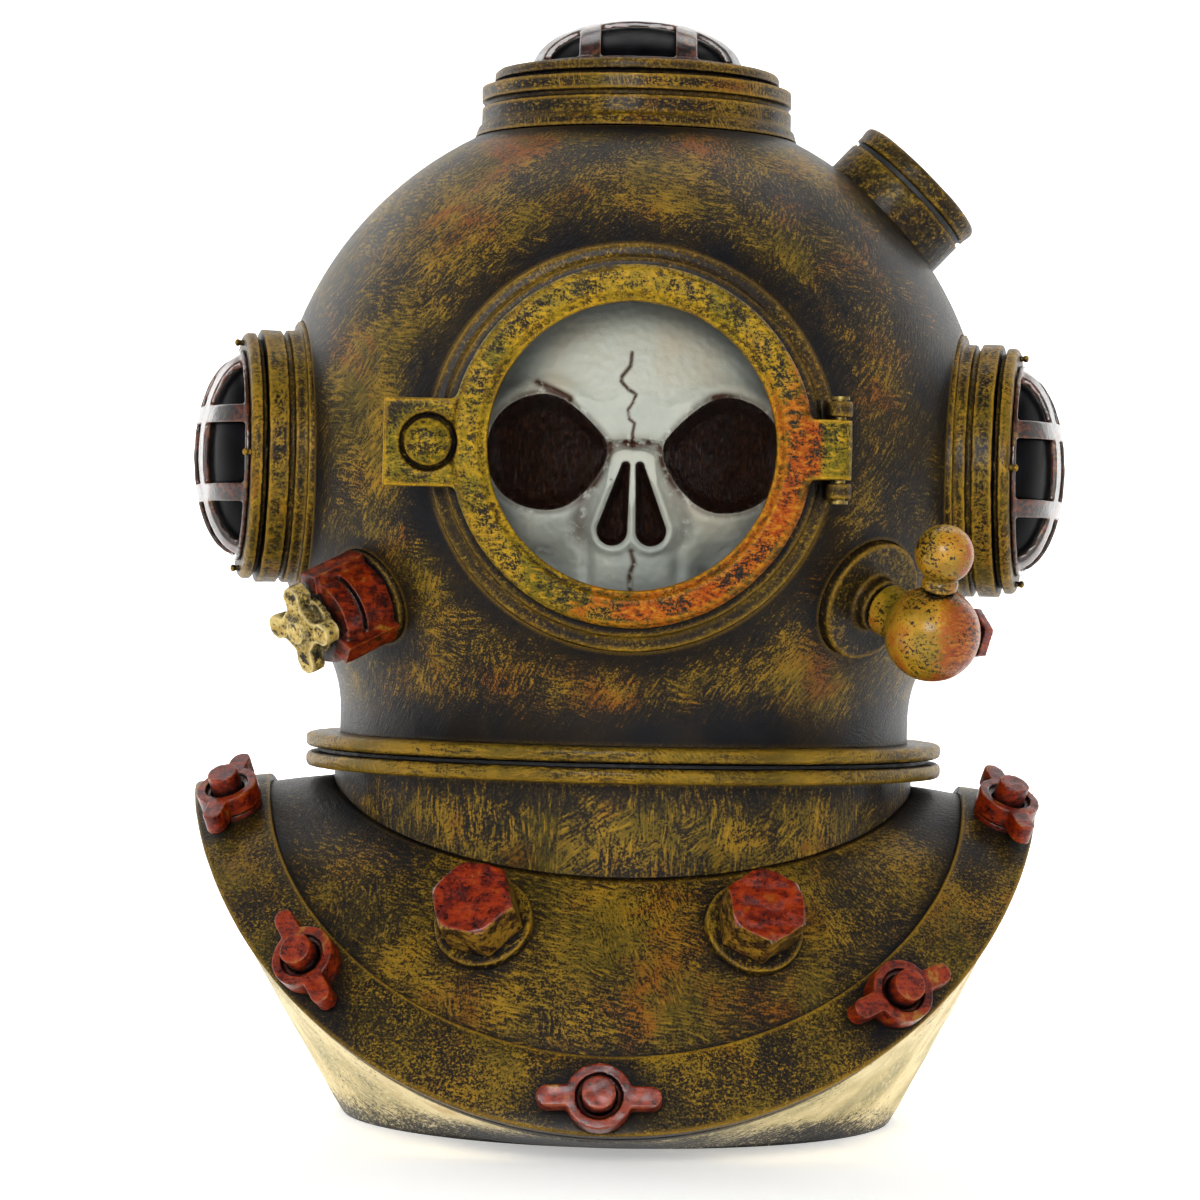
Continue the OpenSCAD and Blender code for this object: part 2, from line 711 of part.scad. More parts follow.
module cap_boss() {
    color(DARK_GOLD) on_cap() difference() {
        translate([0, 0, 57]) cylinder(r = cap_r, h = cap_boss_top - 57);
        translate([0, 0, 50]) cylinder(r = cap_plug_r + clearance, h = 30);
    }
}
module cap_seal_ring() {
    color(DARK) on_cap() difference() {
        translate([0, 0, cap_boss_top]) cylinder(r = cap_r - 0.7, h = 0.8);
        translate([0, 0, 50]) cylinder(r = cap_plug_r + clearance, h = 30);
    }
}
module blank_cap() {
    color(BODY_GOLD) on_cap() {
        translate([0, 0, cap_boss_top + 0.8]) cylinder(r = cap_r, h = 1.2);
        translate([0, 0, cap_boss_top + 1.9]) cylinder(r = cap_r - 0.6, h = 0.6);
        translate([0, 0, cap_boss_top + 2.4]) cylinder(r = cap_r + 0.2, h = cap_top - cap_boss_top - 3);
        translate([0, 0, cap_top - 0.6]) cylinder(r1 = cap_r + 0.2, r2 = cap_r - 0.5, h = 0.6);
        translate([0, 0, cap_boss_top - 4]) cylinder(r = cap_plug_r, h = 5);
    }
}

// ---- Exhaust valve ------------------------------------------------------------------------

seat_r = 8.4;
seat_back = 57.8;
barrel_back = 62.3;
barrel_front = 72.6;
rail_turn = 48;
star_back = 74.2;
star_front = 77.2;
star_turn = -6;
lobe_reach = 5.6;
lobe_r = 2.1;
spindle_r = 1.6;

module exhaust_seat() {
    color(DARK_GOLD) on_exhaust() difference() {
        translate([0, 0, seat_back]) cylinder(r = seat_r, h = barrel_back - gap - seat_back);
        translate([0, 0, 50]) cylinder(r = seat_r - 3.8, h = 30);
    }
}

// A barrel of a narrow and a wide hoop, held between three rails
module exhaust_barrel() {
    length = barrel_front - barrel_back;
    narrow = 3.4;
    groove = 0.9;
    rail_w = 3.8;
    rail_proud = 1.3;
    color(RED) on_exhaust() difference() {
        union() {
            translate([0, 0, barrel_back]) cylinder(r = barrel_r - 1.1, h = length);
            translate([0, 0, barrel_back]) cylinder(r = barrel_r, h = length - narrow - groove);
            translate([0, 0, barrel_front - narrow]) cylinder(r = barrel_r, h = narrow);
            for (a = [0 : 120 : 240]) rotate([0, 0, a + rail_turn])
                translate([barrel_r - 2, -rail_w / 2, barrel_back])
                    cube([rail_proud + 2, rail_w, length + 0.9]);
        }
        translate([0, 0, 50]) cylinder(r = spindle_r + clearance, h = 40);
    }
}

module exhaust_star_knob() {
    thick = star_front - star_back;
    color(BODY_GOLD) on_exhaust() {
        translate([0, 0, barrel_front + 0.4]) cylinder(r = 5, h = star_back - barrel_front);
        translate([0, 0, star_back]) cylinder(r = 4, h = thick);
        for (a = [0 : 90 : 270]) rotate([0, 0, a + star_turn]) translate([0, 0, star_back]) {
            translate([0, 0.2 - lobe_r, 0]) cube([lobe_reach, 2 * lobe_r - 0.4, thick]);
            translate([lobe_reach, 0, 0]) cylinder(r = lobe_r, h = thick);
        }
        translate([0, 0, star_back]) cylinder(r = 2.2, h = thick + 0.8);
        translate([0, 0, barrel_back + 1]) cylinder(r = spindle_r, h = star_back - barrel_back);
    }
}

// ---- Ball cock ------------------------------------------------------------------------------

ball_at = 76.8;
handle_at = 14.1;
handle_lean = 12;
cock_pin_r = 3;
cock_flange_r = 10.2;
cock_flange_top = 62.8;
cock_boss_top = 65.4;
cock_pin_top = 72;

module cock_flange() {
    color(DARK_GOLD) on_cock() difference() {
        union() {
            translate([0, 0, seat_back]) cylinder(r = cock_flange_r, h = cock_flange_top - seat_back);
            translate([0, 0, seat_back]) cylinder(r = 4.6, h = cock_boss_top - seat_back);
            translate([0, 0, seat_back]) cylinder(r = cock_pin_r, h = cock_pin_top - seat_back);
        }
        translate([0, 0, 50]) cylinder(r = 1.5, h = 30);
    }
}

module cock_ball() {
    color(BODY_GOLD) on_cock() difference() {
        union() {
            translate([0, 0, ball_at]) sphere(r = ball_r);
            translate([0, 0, cock_boss_top + 0.5]) cylinder(r = 4.4, h = 6);
        }
        translate([0, 0, cock_boss_top])
            cylinder(r = cock_pin_r + clearance, h = cock_pin_top + 0.4 - cock_boss_top);
        translate([0, 0, ball_at]) rotate([0, -90, handle_lean]) cylinder(r = 2, h = 20);
        translate([0, 0, ball_at]) rotate([-90, 0, 0]) cylinder(r = 2.5, h = 20);
    }
}

// A short stem, its collar and the small ball
module cock_handle() {
    color(BODY_GOLD) on_cock() translate([0, 0, ball_at]) rotate([0, -90, handle_lean]) {
        translate([0, 0, 2]) cylinder(r = 2 - gap / 2, h = handle_at - 2);
        translate([0, 0, ball_r + 0.1]) cylinder(r = 3, h = 1.6);
        translate([0, 0, handle_at]) sphere(r = knob_r);
    }
}

module cock_hex_plug() {
    color(RED) on_cock() translate([0, 0, ball_at]) rotate([-90, 0, 0]) {
        translate([0, 0, 4]) cylinder(r = 2.5 - gap / 2, h = 5);
        translate([0, 0, ball_r + 0.1]) cylinder(r = 4.6, h = 2.2, $fn = 6);
    }
}

// ---- Output ------------------------------------------------------------------------------------

base_shell();
base_plate();
corselet();
front_brail();
rear_brail();
neck_collar();
lower_neck_ring();
neck_gasket();
brail_studs();
wing_nut_front();
wing_nut_front_left();
wing_nut_front_right();
wing_nut_shoulder_left();
wing_nut_shoulder_right();
wing_nut_rear();
wing_nut_rear_right();
wing_nut_rear_left();
bolt_flanges();
hex_bolt_left();
hex_bolt_right();
air_inlet();
air_tube();
air_stone();
bonnet();
bonnet_neck_ring();
front_port_housing();
skull();
front_port_door();
door_catch();
hinge_pin();
left_port_base();
left_port_lens();
left_port_bezel();
left_port_guard();
right_port_base();
right_port_lens();
right_port_bezel();
right_port_guard();
top_port_base();
top_port_lens();
top_port_bezel();
top_port_guard();
cap_boss();
cap_seal_ring();
blank_cap();
exhaust_seat();
exhaust_barrel();
exhaust_star_knob();
cock_flange();
cock_ball();
cock_handle();
cock_hex_plug();
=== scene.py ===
"""Looks of the bubbling aquarium ornament: a diver's helmet with a skull behind its open port.
Hand-painted resin: a charcoal coat dry-brushed with gold, patches of rust, red fittings and a bone skull.
Lengths are in metres, or in millimetres where a section's heading says (mm); the frame is the CAD model's."""
import json
import math

import bmesh
import bpy
import numpy as np
from mathutils import Matrix, Vector, noise


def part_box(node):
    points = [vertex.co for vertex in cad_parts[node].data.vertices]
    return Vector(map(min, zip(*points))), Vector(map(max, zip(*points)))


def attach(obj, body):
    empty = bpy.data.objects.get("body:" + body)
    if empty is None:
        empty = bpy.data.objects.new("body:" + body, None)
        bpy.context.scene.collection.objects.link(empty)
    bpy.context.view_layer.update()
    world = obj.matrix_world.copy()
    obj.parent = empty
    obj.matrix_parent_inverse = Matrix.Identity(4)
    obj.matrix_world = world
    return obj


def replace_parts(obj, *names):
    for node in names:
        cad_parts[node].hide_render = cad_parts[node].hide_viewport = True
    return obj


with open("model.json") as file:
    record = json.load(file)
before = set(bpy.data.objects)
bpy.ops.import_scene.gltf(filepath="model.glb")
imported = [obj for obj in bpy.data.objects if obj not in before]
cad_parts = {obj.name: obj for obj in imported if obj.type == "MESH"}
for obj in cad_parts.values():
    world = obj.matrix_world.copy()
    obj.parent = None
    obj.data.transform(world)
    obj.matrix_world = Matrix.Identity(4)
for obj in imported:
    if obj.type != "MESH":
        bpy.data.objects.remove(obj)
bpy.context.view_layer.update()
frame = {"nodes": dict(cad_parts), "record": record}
NODES = frame["nodes"]
BODY = {n: b for b, ns in frame["record"]["behaviour"]["bodies"].items() for n in ns}
MM = 0.001
PORT_Z, SIDE_PORT_Z = 0.1143, 0.1132
WRAP_RADIUS = 0.055  # where brush strokes are wrapped round the upright axis without stretching


# ---- Materials ---------------------------------------------------------------

def rgb(code):
    """Linear RGBA of an sRGB hex colour."""
    parts = [int(code[i:i + 2], 16) / 255 for i in (1, 3, 5)]
    return tuple(p / 12.92 if p <= 0.04045 else ((p + 0.055) / 1.055) ** 2.4 for p in parts) + (1,)


class Shader:
    """A material's node tree, with short calls for the nodes used here."""

    def __init__(self, name):
        self.mat = bpy.data.materials.new(name)
        self.mat.use_nodes = True
        self.nt = self.mat.node_tree
        self.nt.nodes.clear()
        out = self.nt.nodes.new("ShaderNodeOutputMaterial")
        self.bsdf = self.nt.nodes.new("ShaderNodeBsdfPrincipled")
        self.nt.links.new(self.bsdf.outputs[0], out.inputs[0])
        self.place = self.add("ShaderNodeTexCoord").outputs["Object"]

    def add(self, kind, **settings):
        node = self.nt.nodes.new(kind)
        for key, value in settings.items():
            setattr(node, key, value)
        return node

    def feed(self, socket, value):
        if isinstance(value, bpy.types.NodeSocket):
            self.nt.links.new(value, socket)
        else:
            socket.default_value = value

    def math(self, op, a, b=0.0, clamp=False):
        node = self.add("ShaderNodeMath", operation=op, use_clamp=clamp)
        self.feed(node.inputs[0], a)
        self.feed(node.inputs[1], b)
        return node.outputs[0]

    def vec(self, op, a, b=(0, 0, 0)):
        node = self.add("ShaderNodeVectorMath", operation=op)
        self.feed(node.inputs[0], a)
        self.feed(node.inputs[1], b)
        return node.outputs["Value" if op == "DOT_PRODUCT" else "Vector"]

    def noise(self, where, scale, detail=3.0, rough=0.55, warp=0.0, colour=False):
        node = self.add("ShaderNodeTexNoise")
        self.feed(node.inputs["Vector"], where)
        node.inputs["Scale"].default_value = scale
        node.inputs["Detail"].default_value = detail
        node.inputs["Roughness"].default_value = rough
        node.inputs["Distortion"].default_value = warp
        return node.outputs["Color" if colour else "Fac"]

    def step(self, value, low, high, to_low=0.0, to_high=1.0):
        node = self.add("ShaderNodeMapRange", interpolation_type="SMOOTHSTEP")
        self.feed(node.inputs[0], value)
        for i, v in enumerate((low, high, to_low, to_high)):
            self.feed(node.inputs[i + 1], v)
        return node.outputs[0]

    def ramp(self, value, *stops):
        node = self.add("ShaderNodeValToRGB")
        while len(node.color_ramp.elements) < len(stops):
            node.color_ramp.elements.new(0.5)
        for e, (at, code) in zip(node.color_ramp.elements, stops):
            e.position, e.color = at, rgb(code)
        self.feed(node.inputs[0], value)
        return node.outputs[0]

    def mix(self, fac, a, b):
        node = self.add("ShaderNodeMix", data_type="RGBA")
        self.feed(node.inputs[0], fac)
        self.feed(node.inputs[6], rgb(a) if isinstance(a, str) else a)
        self.feed(node.inputs[7], rgb(b) if isinstance(b, str) else b)
        return node.outputs[2]

    def flow(self, across, up, slant=0.0, swirl=0.004):
        """Coordinates wrapped round the upright axis, turned by slant, stretched into brush strokes."""
        xyz = self.add("ShaderNodeSeparateXYZ")
        self.feed(xyz.inputs[0], self.place)
        turn = self.math("ARCTAN2", xyz.outputs[0], self.math("MULTIPLY", xyz.outputs[1], -1.0))
        angle = self.math("MULTIPLY", turn, WRAP_RADIUS)
        flat = self.vec("MULTIPLY", self.place, (1, 1, 0))
        reach = self.add("ShaderNodeVectorMath", operation="LENGTH")
        self.feed(reach.inputs[0], flat)
        wrapped = self.add("ShaderNodeCombineXYZ")
        self.feed(wrapped.inputs[0], angle)
        self.feed(wrapped.inputs[1], xyz.outputs[2])
        self.feed(wrapped.inputs[2], reach.outputs["Value"])
        drift = self.vec("SUBTRACT", self.noise(self.place, 90, 2, colour=True), (0.5, 0.5, 0.5))
        moved = self.vec("ADD", wrapped.outputs[0], self.vec("MULTIPLY", drift, (swirl, swirl, swirl)))
        turned = self.add("ShaderNodeVectorRotate", rotation_type="Z_AXIS")
        self.feed(turned.inputs["Vector"], moved)
        turned.inputs["Angle"].default_value = math.radians(slant)
        return self.vec("MULTIPLY", turned.outputs[0], (across, up, (across + up) * 0.4))

    def near(self, spots):
        """1 at each spot and 0 away from it; spots hold (centre, axes that count, inner and outer reach)."""
        most = 0.0
        for centre, axes, inner, outer in spots:
            reach = self.add("ShaderNodeVectorMath", operation="LENGTH")
            self.feed(reach.inputs[0], self.vec("MULTIPLY", self.vec("SUBTRACT", self.place, centre), axes))
            most = self.math("MAXIMUM", most, self.step(reach.outputs["Value"], inner, outer, 1.0, 0.0))
        return most

    def edges(self, radius=0.0011, gain=9.0):
        """1 on sharp outer edges and 0 on flats and in corners."""
        rounded = self.add("ShaderNodeBevel", samples=4)
        rounded.inputs[0].default_value = radius
        true = self.add("ShaderNodeNewGeometry").outputs["Normal"]
        turn = self.math("SUBTRACT", 1.0, self.vec("DOT_PRODUCT", rounded.outputs[0], true))
        return self.math("MULTIPLY", turn, gain, clamp=True)

    def hollow(self, distance=0.006):
        """1 in the open and 0 deep in corners."""
        node = self.add("ShaderNodeAmbientOcclusion", samples=4)
        node.inputs["Distance"].default_value = distance
        return node.outputs["AO"]

    def bump(self, height, strength, distance):
        node = self.add("ShaderNodeBump")
        node.inputs["Strength"].default_value = strength
        node.inputs["Distance"].default_value = distance
        self.feed(node.inputs["Height"], height)
        self.feed(self.bsdf.inputs["Normal"], node.outputs[0])

    def set(self, **sockets):
        for key, value in sockets.items():
            self.feed(self.bsdf.inputs[key.replace("_", " ")], value)
        return self.mat


def aged(name, across=1400, up=520, cover=0.5, patch=48, rust=0.35, ember=None, tones=None, slant=0.0,
         coat="#090a10", worn="#a8801f", edge=1.0, seed=0.0, fine=2100, deep=0.006, painted_shade=(), varnish=0.12):
    """Gold dry-brushed over a charcoal coat, with varnish on top. cover is how much gold there is, and
    across, up and slant set the brush strokes. ember (centre, direction, start, width, reach) says where
    the gold turns to orange and red. The gold also thins deep in corners and at the given spots, as near()
    takes them; both are painted shade, where the dark coat shows."""
    s = Shader(name)
    tones = tones or ("#423b0f", "#655318", "#87691a", "#70430f")
    spot = s.vec("ADD", s.place, (seed, seed * 0.7, seed * 1.3))
    patches = s.noise(spot, patch, 4, 0.6)
    one_way = s.noise(s.flow(across, up, slant), 1.0, 4, 0.66)
    other_way = s.noise(s.flow(across, up, slant + 58), 1.0, 4, 0.66)
    choice = s.add("ShaderNodeMix", data_type="FLOAT")
    s.feed(choice.inputs[0], s.step(s.noise(spot, patch * 1.4, 2), 0.5, 0.6))
    s.feed(choice.inputs[2], one_way)
    s.feed(choice.inputs[3], other_way)
    strokes = choice.outputs[0]
    specks = s.noise(spot, fine, 3, 0.7)
    open_air = s.hollow(deep)
    amount = s.math("ADD", s.math("MULTIPLY", patches, 0.72), s.math("MULTIPLY", strokes, 0.95))
    amount = s.math("ADD", amount, s.math("MULTIPLY", specks, 1.0))
    # Painted shade: the gold thins deep in corners, so the dark coat shows there.
    amount = s.math("ADD", amount, s.math("MULTIPLY", s.math("SUBTRACT", open_air, 1.0), 0.5))
    # Painted shade: less gold at the given spots, so the dark coat shows there.
    if painted_shade:
        amount = s.math("SUBTRACT", amount, s.math("MULTIPLY", s.near(painted_shade), 0.24))
    line = 1.59 - 0.5 * cover
    gold = s.step(amount, line - 0.05, line + 0.09)
    glaze = s.step(amount, line - 0.3, line)
    rim = s.math("MULTIPLY", s.edges(), s.step(s.math("ADD", specks, open_air), 1.0, 1.5))
    rim = s.math("MULTIPLY", rim, edge, clamp=True)
    shade = s.noise(spot, patch * 0.8, 3, 0.6)
    tone = s.ramp(shade, *zip((0.32, 0.46, 0.58, 0.7), tones))
    tone = s.mix(s.step(strokes, 0.5, 0.68), tone, s.mix(0.55, tone, worn))
    coat_tone = s.mix(s.step(patches, 0.35, 0.62), coat, "#191107")
    coat_tone = s.mix(s.math("MULTIPLY", glaze, 0.85), coat_tone, "#2e230c")
    rusty = s.math("MULTIPLY", s.step(s.noise(spot, patch * 0.9, 5, 0.65, 0.6), 0.52, 0.68), rust)
    tone = s.mix(rusty, tone, "#8a430d")
    if ember:
        centre, direction, start, width, reach = ember
        lean = s.vec("DOT_PRODUCT", s.vec("SUBTRACT", s.place, centre), direction)
        lean = s.math("ADD", lean, s.math("MULTIPLY", s.math("SUBTRACT", patches, 0.5), width * 3.2))
        lean = s.math("ADD", lean, s.math("MULTIPLY", s.math("SUBTRACT", strokes, 0.5), width * 4.5))
        hot = s.step(lean, start, start + width, 0.0, 0.92)
        hot = s.math("MULTIPLY", hot, s.near(((centre, (1, 1, 1), reach, reach + 0.001),)))
        fire = s.ramp(strokes, (0.36, "#571a06"), (0.47, "#8f3208"), (0.56, "#9c4d0e"), (0.68, "#a8741a"))
        tone = s.mix(hot, tone, fire)
    colour = s.mix(gold, coat_tone, tone)
    colour = s.mix(rim, colour, worn)
    shine = s.step(s.math("ADD", gold, s.math("MULTIPLY", specks, 0.5)), 0.1, 1.2, 0.42, 0.5)
    s.bump(s.math("ADD", s.math("MULTIPLY", strokes, 1.2), s.math("MULTIPLY", specks, 0.5)), 0.6, 0.0004)
    return s.set(Base_Color=colour, Roughness=shine, Metallic=s.math("MULTIPLY", gold, 0.3),
                 Specular_IOR_Level=0.09, Coat_Weight=varnish, Coat_Roughness=0.22)


def red_paint(name, facing=None, gold_sides=0.5, seed=0.0, tone="#571206", lit="#8c2a06", dark=0.3):
    """Oxide red brushed over charcoal, brightest on its edges and worn to gold in patches; where facing is
    given, the sides that look away from it are gold."""
    s = Shader(name)
    spot = s.vec("ADD", s.place, (seed, seed, seed))
    specks = s.noise(spot, 1500, 4, 0.7)
    blots = s.noise(spot, 330, 4, 0.65)
    strokes = s.noise(s.vec("MULTIPLY", spot, (500, 500, 1500)), 1.0, 4, 0.65)
    open_air = s.hollow(0.0035)
    colour = s.mix(s.step(s.math("ADD", strokes, blots), 0.85, 1.15), tone, lit)
    bare = s.math("ADD", s.math("MULTIPLY", specks, 0.7), s.math("MULTIPLY", blots, 0.5))
    colour = s.mix(s.step(bare, 0.42 + 0.2 * dark, 0.52 + 0.2 * dark, 0.9, 0.0), colour, "#160a0a")
    sides = s.mix(s.step(s.math("ADD", specks, blots), 0.9, 1.15), "#1a110e", "#8f6b1e")
    side = s.step(blots, 0.68 - 0.2 * gold_sides, 0.8 - 0.2 * gold_sides, 0.0, 0.85)
    if facing:
        normal = s.add("ShaderNodeNewGeometry").outputs["Normal"]
        away = s.step(s.vec("DOT_PRODUCT", normal, facing), 0.45, 0.8, 0.95, 0.0)
        side = s.math("MAXIMUM", s.math("MULTIPLY", side, 0.35), away)
    colour = s.mix(side, colour, sides)
    # Painted shade: near black deep in corners.
    colour = s.mix(s.step(open_air, 0.4, 0.9, 1.0, 0.0), colour, "#0d0909")
    rim = s.math("MULTIPLY", s.edges(0.0005, 6), s.step(s.math("ADD", specks, open_air), 1.1, 1.5))
    lit_edge = s.mix(s.step(blots, 0.45, 0.6), "#a23c0a", "#94641c")
    colour = s.mix(s.math("MULTIPLY", rim, 0.8), colour, lit_edge)
    s.bump(s.math("ADD", specks, s.math("MULTIPLY", blots, 0.8)), 0.45, 0.0003)
    return s.set(Base_Color=colour, Roughness=s.step(specks, 0.3, 0.7, 0.26, 0.46), Specular_IOR_Level=0.15,
                 Coat_Weight=0.45, Coat_Roughness=0.2)


def guard_paint(name):
    """Red-brown bars, worn to gold here and there."""
    s = Shader(name)
    blots = s.noise(s.place, 150, 4, 0.6)
    specks = s.noise(s.place, 1300, 3, 0.6)
    colour = s.ramp(blots, (0.35, "#120a08"), (0.46, "#2c0f08"), (0.56, "#5a2009"), (0.66, "#6b4a12"))
    colour = s.mix(s.step(specks, 0.42, 0.56, 1.0, 0.0), colour, "#0d0a0a")
    colour = s.mix(s.math("MULTIPLY", s.edges(0.0005, 6), 0.6), colour, "#8a5520")
    s.bump(s.math("ADD", blots, specks), 0.4, 0.0003)
    return s.set(Base_Color=colour, Roughness=s.step(specks, 0.3, 0.7, 0.28, 0.42), Specular_IOR_Level=0.4,
                 Coat_Weight=0.8, Coat_Roughness=0.15)


def dome_gloss(name):
    """Black domed lens with a little dust on it."""
    s = Shader(name)
    dust = s.noise(s.place, 240, 5, 0.6)
    colour = s.mix(s.step(dust, 0.5, 0.72), "#040406", "#0b0c11")
    s.bump(s.noise(s.place, 700, 2), 0.06, 0.0002)
    return s.set(Base_Color=colour, Roughness=s.step(dust, 0.35, 0.7, 0.3, 0.45), Specular_IOR_Level=0.07)


def bone(name):
    """Bone white, with a brown wash where the skull's own attributes say it gathers."""
    s = Shader(name)
    pit = s.add("ShaderNodeAttribute", attribute_name="pit").outputs["Fac"]
    wash = s.add("ShaderNodeAttribute", attribute_name="wash").outputs["Fac"]
    cloud = s.noise(s.place, 55, 4, 0.6)
    grain = s.noise(s.place, 1700, 4, 0.7)
    hatch = s.noise(s.vec("MULTIPLY", s.place, (2600, 900, 700)), 1.0, 4, 0.7, 0.8)
    base = s.ramp(cloud, (0.35, "#989e96"), (0.5, "#abaea2"), (0.66, "#aba592"))
    base = s.mix(s.step(grain, 0.62, 0.8, 0.0, 0.35), base, "#8e8a78")
    # Painted shade: blue-grey deep in the skull's hollows.
    low = s.step(s.hollow(0.005), 0.3, 0.9, 0.6, 0.0)
    base = s.mix(low, base, "#62676a")
    stain = s.math("MULTIPLY", wash, s.step(s.noise(s.place, 620, 4, 0.65), 0.3, 0.5), clamp=True)
    base = s.mix(stain, base, "#3a2110")
    dark = s.ramp(hatch, (0.3, "#080201"), (0.5, "#1a0a04"), (0.66, "#452410"))
    ragged = s.math("ADD", pit, s.math("MULTIPLY", s.math("SUBTRACT", grain, 0.5), 0.25))
    colour = s.mix(s.step(ragged, 0.35, 0.6), base, dark)
    relief = s.math("MULTIPLY", hatch, s.math("MULTIPLY", pit, 1.6))
    relief = s.math("ADD", relief, s.math("MULTIPLY", grain, 0.12))
    s.bump(relief, 0.9, 0.0008)
    return s.set(Base_Color=colour, Roughness=s.step(pit, 0.3, 0.7, 0.5, 0.28),
                 Specular_IOR_Level=s.step(pit, 0.3, 0.7, 0.4, 0.35))


def plain(name, dark, light, scale=500, rough=(0.4, 0.6), strength=0.3, metal=0.0, depth=0.0003, pores=False):
    """Rubber, plastic, steel or stone: two tones, a fine relief and a changing gloss."""
    s = Shader(name)
    grain = s.noise(s.place, scale, 4, 0.6)
    height = grain
    if pores:
        cell = s.add("ShaderNodeTexVoronoi")
        s.feed(cell.inputs["Vector"], s.place)
        cell.inputs["Scale"].default_value = scale * 1.6
        height = s.math("ADD", grain, s.step(cell.outputs["Distance"], 0.1, 0.5))
    s.bump(height, strength, depth)
    colour = s.mix(s.step(height, 0.3, 0.75 if not pores else 1.4), dark, light)
    return s.set(Base_Color=colour, Roughness=s.step(grain, 0.3, 0.7, *rough), Metallic=metal)


ROUND = (1, 1, 1)
# Painted shade on the bonnet: the gold thins on its shaded sides, round the ports and fittings, and low on
# the neck.
BONNET_PAINTED_SHADE = (
    ((0.062, -0.03, 0.13), (1, 0.6, 0.7), 0.006, 0.040),  # the shaded sides
    ((-0.062, -0.01, 0.10), (1, 0.6, 0.7), 0.004, 0.034),
    ((0, -0.0596, PORT_Z), ROUND, 0.0345, 0.0425),  # round the four ports
    ((-0.0574, -0.0101, SIDE_PORT_Z), ROUND, 0.024, 0.030),
    ((0.0574, -0.0101, SIDE_PORT_Z), ROUND, 0.024, 0.030),
    ((0, 0, 0.169), ROUND, 0.0285, 0.033),
    ((0, 0, 0.064), (0, 0, 1), 0.003, 0.011),  # low on the neck
    ((-0.0435, -0.0378, 0.0884), ROUND, 0.008, 0.014),  # round the exhaust valve and the ball cock
    ((0.0400, -0.0422, 0.0905), ROUND, 0.009, 0.015),
)
# Painted shade on the breastplate: the gold thins on either side next to the neck.
PLATE_PAINTED_SHADE = (((0.062, 0, 0.06), ROUND, 0.014, 0.046), ((-0.062, 0, 0.06), ROUND, 0.014, 0.056))
DOOR_EMBER = ((0, -0.061, PORT_Z), (0.75, 0, -0.66), 0.008, 0.012, 0.030)
COCK_EMBER = ((0.049, -0.052, 0.095), (0.9, 0.2, -0.2), 0.001, 0.004, 0.02)
# The base's gold in pale cream tones: painted highlight for the bright glare on it.
BASE_PAINTED_GLARE_TONES = ("#a1966a", "#cdbb84", "#f0dfad", "#cfae6c")
DOOR_TONES = ("#4a480f", "#6b5f13", "#8f7418", "#7d6118")
STAR_TONES = ("#8f7a36", "#a98c3e", "#c2a75a", "#a5843c")
COCK_TONES = ("#6d6114", "#97781c", "#b98a26", "#b0601a")
GOLDS = {
    "bonnet": aged("gold_bonnet", 2300, 360, 0.50, 62, 0.75, slant=38, edge=0.5, deep=0.010, fine=2800,
                   painted_shade=BONNET_PAINTED_SHADE),
    "plate": aged("gold_plate", 520, 2500, 0.48, 60, 0.6, slant=12, fine=2600, edge=0.6, seed=0.31,
                  deep=0.008, painted_shade=PLATE_PAINTED_SHADE),
    "collar": aged("gold_collar", 1900, 260, 0.54, 90, 0.3, seed=0.52, deep=0.006),
    "brail": aged("gold_brail", 1900, 2300, 0.48, 90, 0.2, fine=2800, seed=0.77, edge=1.0),
    "ring": aged("gold_ring", 420, 2300, 0.74, 60, 0.1, seed=0.13),
    # The base: gold with pale cream tones and near-white edges, which paint the glare on it as highlight.
    "base": aged("gold_base_painted_glare", 420, 1900, 0.96, 60, 0.1, slant=-25, seed=0.91, tones=BASE_PAINTED_GLARE_TONES,
                 worn="#f3e6bd"),
    "housing": aged("gold_housing", 1500, 1500, 0.42, 60, 0.2, seed=0.21),
    "port": aged("gold_port", 2000, 420, 0.62, 130, 0.3, seed=0.4),
    "door": aged("gold_door", 800, 1300, 0.62, 190, 0.1, fine=2600, seed=0.63, tones=DOOR_TONES,
                 ember=DOOR_EMBER, worn="#c8981c", varnish=0.05),
    "crown": aged("gold_crown", 330, 2100, 0.46, 90, 0.3, seed=0.05),
    "cap": aged("gold_cap", 900, 900, 0.50, 60, 0.2, seed=0.47),
    "star": aged("gold_star", 700, 700, 0.64, 260, 0.0, fine=1200, seed=0.71, tones=STAR_TONES,
                 worn="#dcc88c", deep=0.006),
    "cock": aged("gold_cock", 900, 1900, 0.70, 170, 0.3, varnish=0.5, seed=0.19, deep=0.003,
                 tones=COCK_TONES, ember=COCK_EMBER),
    "dull": aged("dull_base", 500, 500, 0.1, 50, 0.1, seed=0.87, edge=0.3),
}
GUARD = guard_paint("guard_bars")
DOME = dome_gloss("dome_black")
BONE = bone("skull_bone")
RUBBER = plain("gasket_rubber", "#0c0c0e", "#1a1a1c", 900, (0.5, 0.75), 0.4)
TUBE = plain("airline_vinyl", "#101114", "#1f2126", 240, (0.3, 0.45), 0.12)
STONE = plain("air_stone_grit", "#5d6f86", "#9db0c4", 1500, (0.75, 0.95), 0.9, depth=0.0006, pores=True)
NIPPLE = plain("inlet_plastic", "#24262b", "#383b42", 420, (0.32, 0.5), 0.12)
STEEL = plain("pin_brass", "#5b4a26", "#a08a4c", 900, (0.25, 0.5), 0.2, metal=0.9)


# ---- Pieces ---------------------------------------------------------------------

